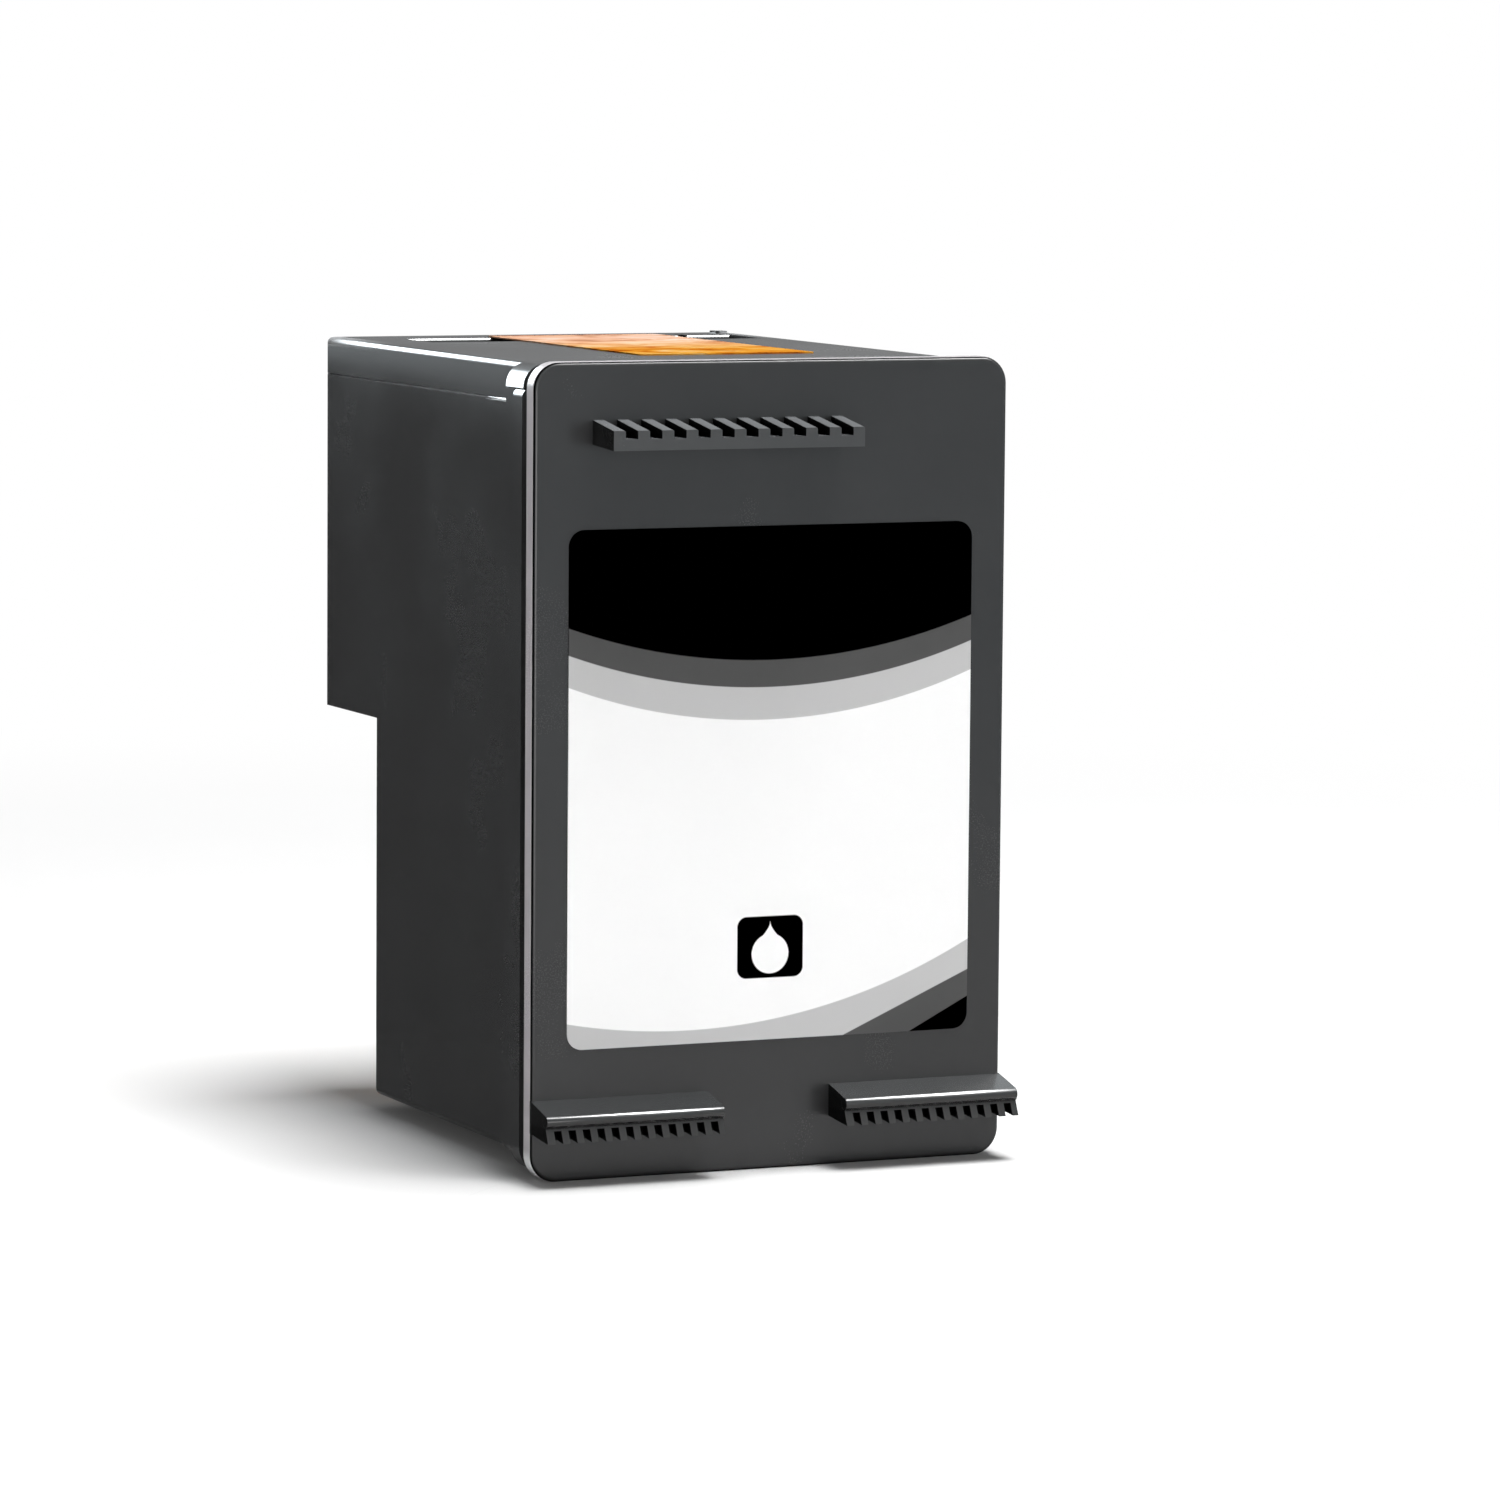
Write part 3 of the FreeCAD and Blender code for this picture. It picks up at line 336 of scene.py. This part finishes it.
def lid_look():
    """Lid plastic: the front lip leans a little, and its tip and the rear of the long edges are dull; the rear
    of the long edges is painted pale grey as a painted highlight.
    """
    lip_slope = -0.28
    look, shade, grain = moulded("lid_plastic", 0.024)
    x, y, z = look.millimetres()
    # Painted highlight: the rear of the long edges is painted pale grey where its gloss is taken off
    rear = look.product(look.step(y, TANK_REAR - 14.0, TANK_REAR),
                        look.step(look.unsigned(x), TANK_SIDE - 1.4, TANK_SIDE - 1.1),
                        look.step(z, LID_TOP - 0.7, LID_TOP - 0.5))
    shade = look.mix(rear, shade, (0.35, 0.36, 0.37, 1))
    lip_end = look.step(y, GROOVE_REAR + 0.6, GROOVE_REAR + 0.5)
    gloss = look.product(look.step(rear, 0.0, 1.0, GLOSS, 0.0), look.minus(1.0, lip_end))
    look.set(Base_Color=shade, Specular_IOR_Level=gloss)
    lean = look.product(z, lip_slope * MM, look.step(y, LIP_REAR + 0.1, LIP_REAR))
    look.bump(look.math("ADD", grain, lean))
    look.wear("lid")


def shoulder(name, left, look):
    """Rounded shoulder along the front of a latch ledge, with eased ends."""
    count = 48
    rings = [(0.0, SHOULDER_RADIUS - 0.04), (0.012, SHOULDER_RADIUS - 0.012), (0.04, SHOULDER_RADIUS)]
    rings += [(LEDGE_LENGTH - along, radius) for along, radius in reversed(rings)]
    points = []
    for along, radius in rings:
        for i in range(count):
            angle = 2 * math.pi * i / count
            points.append((left + along, SHOULDER_PLACE[0] + radius * math.cos(angle),
                           SHOULDER_PLACE[1] + radius * math.sin(angle)))
    last_ring = (len(rings) - 1) * count
    faces = [tuple(reversed(range(count))), tuple(range(last_ring, last_ring + count))]
    for ring in range(0, last_ring, count):
        for i in range(count):
            near = ring + i
            beside = ring + (i + 1) % count
            faces.append((near, beside, beside + count, near + count))
    mesh = bpy.data.meshes.new(name)
    mesh.from_pydata([tuple(value * MM for value in point) for point in points], [], faces)
    for face in mesh.polygons:
        face.use_smooth = len(face.vertices) == 4
    mesh.materials.append(look.material)
    rod = bpy.data.objects.new(name, mesh)
    scene.collection.objects.link(rod)
    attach(rod, "root")


# Front label in x and z on the part. Edge of each band: the side of its arc that is inked, the grey, the
# arc's middle and its radius
LABEL_ARCS = (
    ("inside", 197, (-0.5, 78.4), 44.9),
    ("inside", 86, (-0.3, 82.9), 47.0),
    ("inside", 0, (-0.2, 85.8), 47.9),
    ("outside", 197, (-6.7, 59.1), 48.4),
)
# Straight edges at the lower right: the grey under each, and two points of it
LABEL_CUTS = (
    (86, (5.75, 9.6), (16.05, 14.1)),
    (0, (11.2, 9.6), (16.0, 12.05)),
)
PRINT_EDGE = 0.04
SIGN_PLACE = (0.0, 16.6)
SIGN_HALF_WIDTH = 2.66
SIGN_HALF_HEIGHT = 2.30
SIGN_CORNER = 0.75
BOWL_PLACE = (0.0, 16.10)
BOWL_RADIUS = 1.48
DROP_TIP = 18.50


def label_bands(look, printed, x, z):
    """Arched bands of grey, and two straight cuts at the lower right."""
    for side, tone, middle, radius in LABEL_ARCS:
        far = look.length(look.minus(x, middle[0]), look.minus(z, middle[1]))
        soft = PRINT_EDGE if side == "inside" else -PRINT_EDGE
        inked = look.step(far, radius + soft, radius - soft)
        printed = look.mix(inked, printed, colour(tone, tone, tone))
    for tone, start, end in LABEL_CUTS:
        slope = (end[1] - start[1]) / (end[0] - start[0])
        line = look.math("ADD", look.product(x, slope), start[1] - slope * start[0])
        inked = look.step(look.minus(line, z), -PRINT_EDGE, PRINT_EDGE)
        printed = look.mix(inked, printed, colour(tone, tone, tone))
    return printed


def drop_sign(look, printed, x, z):
    """Black square with rounded corners, and a white drop in it."""
    across = look.unsigned(look.minus(x, SIGN_PLACE[0]))
    up = look.unsigned(look.minus(z, SIGN_PLACE[1]))
    far = look.past_corners(across, up, SIGN_HALF_WIDTH, SIGN_HALF_HEIGHT, SIGN_CORNER)
    square = look.step(far, SIGN_CORNER + PRINT_EDGE, SIGN_CORNER - PRINT_EDGE)
    far = look.length(look.minus(x, BOWL_PLACE[0]), look.minus(z, BOWL_PLACE[1]))
    bowl = look.step(far, BOWL_RADIUS + PRINT_EDGE, BOWL_RADIUS - PRINT_EDGE)
    narrowing = look.minus(1.0, look.step(z, BOWL_PLACE[1], DROP_TIP))
    half_width = look.product(narrowing, BOWL_RADIUS)
    neck = look.product(look.step(look.minus(half_width, across), -PRINT_EDGE, PRINT_EDGE),
                        look.above(z, BOWL_PLACE[1]), look.below(z, DROP_TIP))
    return look.mix(neck, look.mix(bowl, look.mix(square, printed, BLACK), WHITE), WHITE)


def front_label():
    """Printed film: arched bands of grey over a white field, and a drop sign."""
    look = Look("front_label_film")
    x, _, z = look.millimetres()
    printed = look.mix(look.noise(400), colour(252, 252, 252), WHITE)
    printed = label_bands(look, printed, x, z)
    printed = drop_sign(look, printed, x, z)
    look.set(Base_Color=printed, Roughness=0.55, Specular_IOR_Level=0.0)
    look.wear("front_label")


# Streaks of the top label: value of the noise, and screen colour there
AMBER_STREAKS = (
    (0.30, (124, 54, 10)),
    (0.42, (180, 100, 22)),
    (0.52, (202, 140, 46)),
    (0.64, (206, 160, 88)),
    (0.76, (210, 190, 150)),
)
PINK_STREAKS = (
    (0.30, (146, 92, 66)),
    (0.46, (204, 156, 126)),
    (0.58, (220, 188, 168)),
    (0.74, (232, 216, 206)),
)


def streaked(look, noise, tones):
    """Colour of the streaks from a list of their tones."""
    node = look.add("ValToRGB", {"Fac": noise})
    stops = node.color_ramp.elements
    for stop, (value, tone) in zip(stops, (tones[0], tones[-1])):
        stop.position = value
        stop.color = colour(*tone)
    for value, tone in tones[1:-1]:
        stops.new(value).color = colour(*tone)
    return node.outputs["Color"]


def top_label():
    """Printed film on the lid: warm streaks from amber at the front to pink at the rear."""
    look = Look("top_label_film")
    _, y, _ = look.millimetres()
    inputs = {"Vector": look.place, "Scale": (1.0, 1.5, 1.0), "Rotation": (0, 0, 0.5)}
    slanted = look.add("Mapping", inputs).outputs["Vector"]
    noise = look.noise(190, detail=5, roughness=0.62, vector=slanted, distortion=0.7)
    amber = streaked(look, noise, AMBER_STREAKS)
    pink = streaked(look, noise, PINK_STREAKS)
    look.set(Base_Color=look.mix(look.step(y, -3.0, 18.0), amber, pink))
    look.set(Roughness=0.6, Specular_IOR_Level=0.0)
    look.wear("top_label")


def foam_look():
    """Ink-soaked open cells."""
    look = Look("inked_foam")
    cells = look.add("TexVoronoi", {"Vector": look.place, "Scale": 1800.0}).outputs["Distance"]
    look.set(Base_Color=look.mix(cells, colour(14, 14, 16), colour(44, 44, 48)), Roughness=0.8)
    look.bump(cells, 0.0002)
    look.wear("foam_block")


def screen_look():
    """Fine steel weave of the filter screen."""
    look = Look("filter_mesh")
    weave = look.add("TexChecker", {"Vector": look.place, "Scale": 12000.0}).outputs["Fac"]
    look.set(Base_Color=look.mix(weave, colour(150, 150, 150), colour(205, 205, 205)))
    look.set(Metallic=1.0, Roughness=0.35)
    look.wear("filter_screen")


def clouded_look(name, node, scale, dark, pale, roughness):
    """Plain material with soft clouds between two tones."""
    look = Look(name)
    look.set(Base_Color=look.mix(look.noise(scale), colour(*dark), colour(*pale)), Roughness=roughness)
    look.wear(node)
    return look


def nozzle_look():
    """Brown film with two rows of nozzle holes."""
    holes_per_mm = 4.0
    row_side = 0.9
    look = Look("nozzle_film")
    x, y, _ = look.millimetres()
    along = look.math("FRACT", look.product(y, holes_per_mm))
    hole = look.below(look.unsigned(look.minus(along, 0.5)), 0.22)
    row = look.below(look.unsigned(look.minus(look.unsigned(x), row_side)), 0.06)
    look.set(Base_Color=look.mix(look.product(hole, row), colour(110, 62, 24), colour(12, 10, 8)))
    look.set(Roughness=0.25)
    look.wear("nozzle_plate")


def circuit_look():
    """Amber film with copper traces under the pads, between their two clusters and on the underside."""
    traces_per_mm = 2.0
    trace_side = PADS[1][0] - 0.75
    trace_top = FLEX[1][2] - 1.0
    under_pads = PADS[0][2] - 0.25
    between_clusters = 2.2
    look = Look("flex_film")
    x, _, z = look.millimetres()
    across = look.unsigned(x)
    line = look.unsigned(look.minus(look.math("FRACT", look.product(x, traces_per_mm)), 0.5))
    traces = look.product(look.step(line, 0.24, 0.20), look.step(across, trace_side, trace_side - 0.05))
    middle = look.product(look.step(across, between_clusters, between_clusters - 0.05),
                          look.step(z, trace_top, trace_top - 0.1))
    clear_of_pads = look.larger(look.step(z, under_pads, under_pads - 0.05), middle)
    film = look.mix(look.noise(150), colour(150, 84, 20), colour(186, 108, 30))
    look.set(Base_Color=look.mix(look.product(traces, clear_of_pads), film, colour(222, 150, 78)))
    look.set(Roughness=0.28)
    look.wear("flex_circuit")


def inner_looks():
    """Pieces that the lid and the snout hide, and the head on the underside."""
    foam_look()
    screen_look()
    clouded_look("adhesive", "die_adhesive", 900, (40, 40, 42), (70, 70, 72), 0.5)
    clouded_look("silicon", "printhead_die", 300, (70, 72, 84), (110, 112, 128), 0.2)
    nozzle_look()
    circuit_look()
    gold = clouded_look("pad_gold", "contact_pads", 700, (214, 170, 84), (236, 200, 120), 0.28)
    gold.set(Metallic=1.0)
    gold.bump(gold.noise(2500), 0.000004)
    for bead in ("encapsulant_front", "encapsulant_rear"):
        clouded_look(bead, bead, 500, (28, 28, 30), (44, 44, 46), 0.22)


# Floor and studio in metres: white to the camera and to reflections, with the object's soft shadow kept
FLOOR_SIZE = 60.0
FLOOR_DARK = (0.80, 0.80, 0.80, 1)
FLOOR_PALE = (0.82, 0.82, 0.82, 1)
FLOOR_LIFT = 0.05
# Painted contact shadow on the floor: its reach in metres and its darkest share of light
CONTACT_REACH = 0.0045
CONTACT_SHADE = 0.62
# Distances from the origin between which the floor blends into plain white
BLEND_START = 0.12
BLEND_END = 0.30
STUDIO_LIGHT = 0.12


def flat_piece(name, corners):
    """One flat face of the studio."""
    mesh = bpy.data.meshes.new(name)
    mesh.from_pydata(corners, [], [(0, 1, 2, 3)])
    piece = bpy.data.objects.new(name, mesh)
    scene.collection.objects.link(piece)
    return piece


def make_floor():
    """Large pale floor under the cartridge, with a painted contact shadow close to it."""
    half = FLOOR_SIZE / 2
    floor = flat_piece("floor", [(-half, -half, 0), (half, -half, 0), (half, half, 0), (-half, half, 0)])
    look = Look("floor_paper")
    contact_shadow = look.step(look.openness(CONTACT_REACH), 0.50, 0.97, CONTACT_SHADE, 1.0)
    paper = look.mix(look.noise(40), FLOOR_DARK, FLOOR_PALE)
    look.set(Base_Color=look.mix(contact_shadow, BLACK, paper), Roughness=0.9, Specular_IOR_Level=0.0)
    path = look.add("LightPath").outputs
    lift = look.add("Emission", {"Color": WHITE, "Strength": look.product(contact_shadow, FLOOR_LIFT)})
    tint = look.mix(path["Is Glossy Ray"], WHITE, COOL)
    plain = look.add("Emission", {"Color": tint, "Strength": 1.0})
    paper_shader = look.shader.outputs[0]
    near = look.add("AddShader", {0: paper_shader, 1: lift.outputs[0]})
    distance = look.add("VectorMath", {0: look.place}, operation="LENGTH").outputs["Value"]
    far = look.step(distance, BLEND_START, BLEND_END)
    blended = look.add("MixShader", {"Fac": far, 1: near.outputs[0], 2: plain.outputs[0]})
    chosen = look.add("MixShader", {"Fac": look.seen(path), 1: paper_shader, 2: blended.outputs[0]})
    look.feed(look.tree.nodes["Material Output"].inputs["Surface"], chosen.outputs[0])
    floor.data.materials.append(look.material)


def make_world():
    """White studio behind the object, and a plain level of light on it."""
    world = bpy.data.worlds.new("studio")
    scene.world = world
    world.use_nodes = True
    studio = NodeTree(world.node_tree)
    background = studio.tree.nodes["Background"]
    path = studio.add("LightPath").outputs
    level = studio.step(studio.seen(path), 0.0, 1.0, STUDIO_LIGHT, 1.0)
    studio.feed(background.inputs["Color"], studio.mix(path["Is Glossy Ray"], WHITE, COOL))
    studio.feed(background.inputs["Strength"], level)


# Place that most lamps point at
LAMP_AIM = (0, 0, 0.03)


def add_lamp(name, place, aim, width, height, watts):
    """Soft area lamp that points at a place."""
    data = bpy.data.lights.new(name, "AREA")
    data.energy = watts
    data.shape = "RECTANGLE"
    data.size = width
    data.size_y = height
    lamp = bpy.data.objects.new(name, data)
    scene.collection.objects.link(lamp)
    lamp.location = place
    lamp.rotation_euler = (Vector(aim) - Vector(place)).to_track_quat("-Z", "Y").to_euler()
    lamp.visible_camera = False
    return lamp


def add_strip(name, place, width, height, watts):
    """Lamp that only reflections see."""
    lamp = add_lamp(name, place, LAMP_AIM, width, height, watts)
    lamp.visible_diffuse = False
    return lamp


def make_lamps():
    """Key almost overhead, fill from the front, and strips for the highlights."""
    key_place = (0.106, -0.100, 0.8)
    add_lamp("key", key_place, (*key_place[:2], 0), 0.27, 0.35, 8.4)
    front = add_lamp("front", (-0.1, -1.1, 0.2), LAMP_AIM, 0.8, 0.3, 3.4)
    front.visible_glossy = False
    rim = add_strip("rim", (-0.17, 0.75, 0.29), 0.34, 0.34, 5.8)
    rim.data.color = COOL[:3]
    add_strip("top", (0.31, 0.10, 0.66), 0.34, 0.34, 24.0)
    add_strip("glint", (0.31, -0.17, 0.65), 0.30, 0.34, 26.0)
    add_strip("band", (0.32, -0.54, 0.48), 0.30, 0.36, 0.8)


def add_card(name, corners, glow):
    """Card of one even grey that only reflections see."""
    card = flat_piece(name, corners)
    card.visible_camera = False
    card.visible_diffuse = False
    card.visible_shadow = False
    card.visible_transmission = False
    look = Look(name)
    look.set(Base_Color=(0.002, 0.002, 0.002, 1), Roughness=0.95, Specular_IOR_Level=0.0)
    look.set(Emission_Color=WHITE, Emission_Strength=glow)
    card.data.materials.append(look.material)


def add_upright(name, left, right, left_top, right_top, glow, low=0.0):
    """Upright card between two places, with a top height at each."""
    add_card(name, [(*left, low), (*right, low), (*right, right_top), (*left, left_top)], glow)


def make_cards():
    """Cards whose reflections shade the black plastic."""
    screen_end = (-0.0083, 0.0582)
    screen_end_top = 0.0600
    add_upright("near_screen", (-0.0627, 0.0339), screen_end, 0.0505, screen_end_top, 0.118)
    foot = Vector((0.26, 0.57))
    half_width = Vector((0.908, -0.405)).normalized() * 0.24
    add_upright("back_screen", foot - half_width, foot + half_width, 0.30, 0.30, 0.25)
    left, right = -0.060, -0.018
    front, rear = -0.012, 0.060
    height = 0.0004
    lying = [(right, front, height), (right, rear, height), (left, rear, height), (left, front, height)]
    add_card("floor_card", lying, 0.14)
    add_upright("corner_card", screen_end, (0.012, 0.0672), screen_end_top, 0.0575, 0.10)
    add_upright("edge_card", (-0.10, -0.20), (0.0, -0.20), 0.06, 0.06, 6.0, low=0.001)


CAMERA_PLACE = (-0.20675, -0.48243, 0.08466)
CAMERA_LENS = 165.27
# Turn to the right, tilt down and roll, in degrees
CAMERA_TURNS = (24.005, 6.046, 0.457)


def make_camera():
    """Camera at the photograph's place."""
    yaw, pitch, roll = (math.radians(angle) for angle in CAMERA_TURNS)
    forward = Vector((math.sin(yaw) * math.cos(pitch), math.cos(yaw) * math.cos(pitch), -math.sin(pitch)))
    right = Vector((math.cos(yaw), -math.sin(yaw), 0))
    up = right.cross(forward)
    rolled_right = math.cos(roll) * right + math.sin(roll) * up
    rolled_up = -math.sin(roll) * right + math.cos(roll) * up
    data = bpy.data.cameras.new("camera")
    data.lens = CAMERA_LENS
    data.sensor_width = 36
    data.clip_start = 0.01
    camera = bpy.data.objects.new("camera", data)
    scene.collection.objects.link(camera)
    axes = Matrix((rolled_right, rolled_up, -forward)).transposed()
    camera.matrix_world = Matrix.Translation(CAMERA_PLACE) @ axes.to_4x4()
    scene.camera = camera


body = body_look()
shoulder("left_ledge_shoulder", -PLATE_HALF_WIDTH, body)
shoulder("right_ledge_shoulder", PLATE_HALF_WIDTH - LEDGE_LENGTH, body)
lid_look()
front_label()
top_label()
inner_looks()
make_floor()
make_world()
make_lamps()
make_cards()
make_camera()
